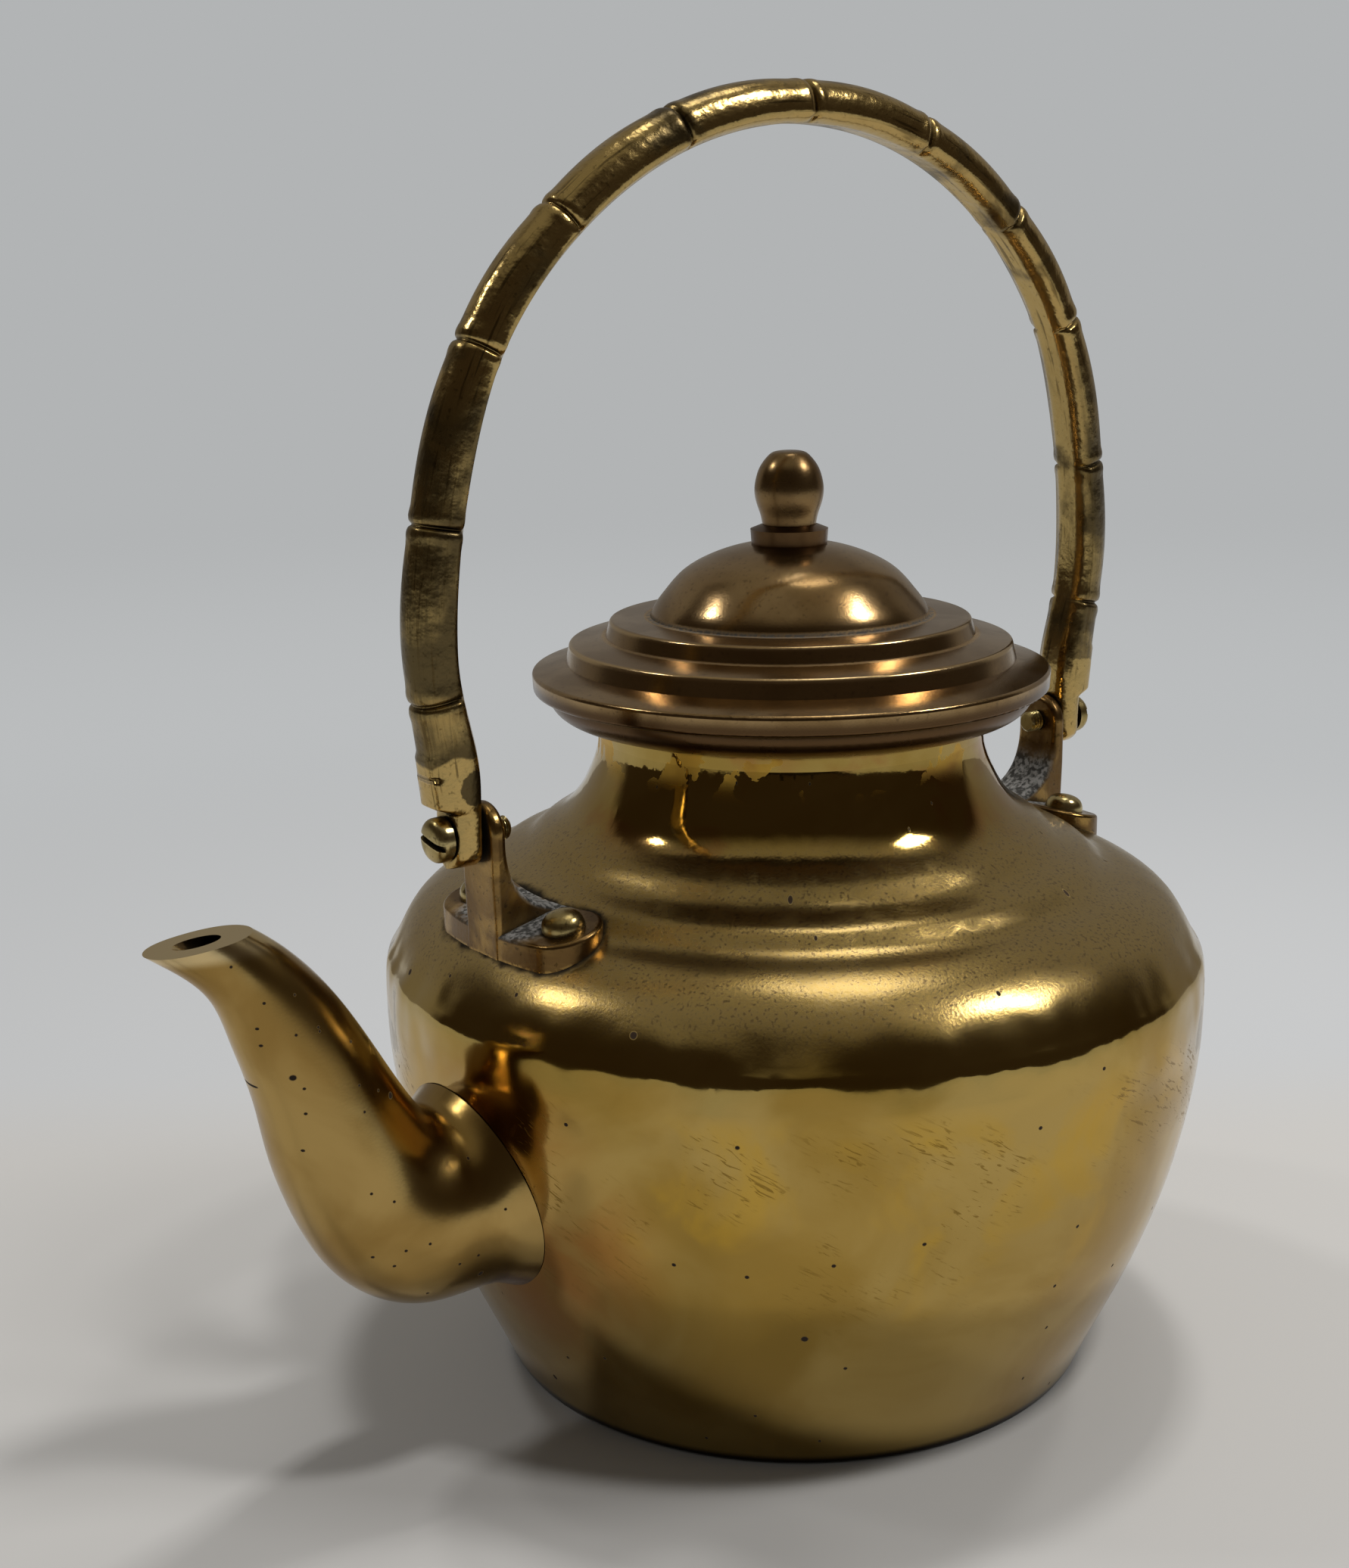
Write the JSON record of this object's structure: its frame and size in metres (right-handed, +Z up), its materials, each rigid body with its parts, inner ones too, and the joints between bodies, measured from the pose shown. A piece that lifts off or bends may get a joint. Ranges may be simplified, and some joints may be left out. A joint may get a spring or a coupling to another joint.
{
  "type": "teapot",
  "caption": "Brass teapot with a stepped lift-off lid, an acorn knob, a curved spout, and a jointed bail handle in the form of bamboo that swings on screws in two riveted lugs.",
  "frame": {"origin": "on the pot's axis at the underside of its foot, the plane it stands on", "axes": "+Z up the pot's axis, spout towards -X, bail hinge axis parallel to X"},
  "size_m": [0.2078, 0.1516, 0.2304],
  "materials": {
    "polished_brass": "polished",
    "brown_brass": "satin",
    "cast_brass": "satin",
    "fastener_brass": "satin"
  },
  "bodies": {
    "pot": {"body_shell": "polished_brass", "base_plate": "polished_brass", "mouth_ring": "brown_brass", "spout": "polished_brass", "lug_spout_side": "cast_brass", "lug_far_side": "cast_brass", "lug_rivets": "fastener_brass", "rivet_burrs": "fastener_brass", "pivot_screws": "fastener_brass"},
    "bail": {"bail_handle": "cast_brass"},
    "lid": {"lid_cap": "brown_brass", "lid_flange": "brown_brass", "lid_knob": "brown_brass", "knob_collar": "brown_brass", "knob_washer": "fastener_brass", "knob_nut": "fastener_brass"}
  },
  "joints": [
    {"name": "bail_swing", "type": "hinge", "parent": "pot", "child": "bail", "pos_m": [0, 0, 0.1091], "axis": [1, 0, 0], "range_deg": [-138, 135]},
    {"name": "lid_lift", "type": "slide", "parent": "pot", "child": "lid", "axis": [0, 0, 1], "range_m": [0, 0.045]}
  ]
}
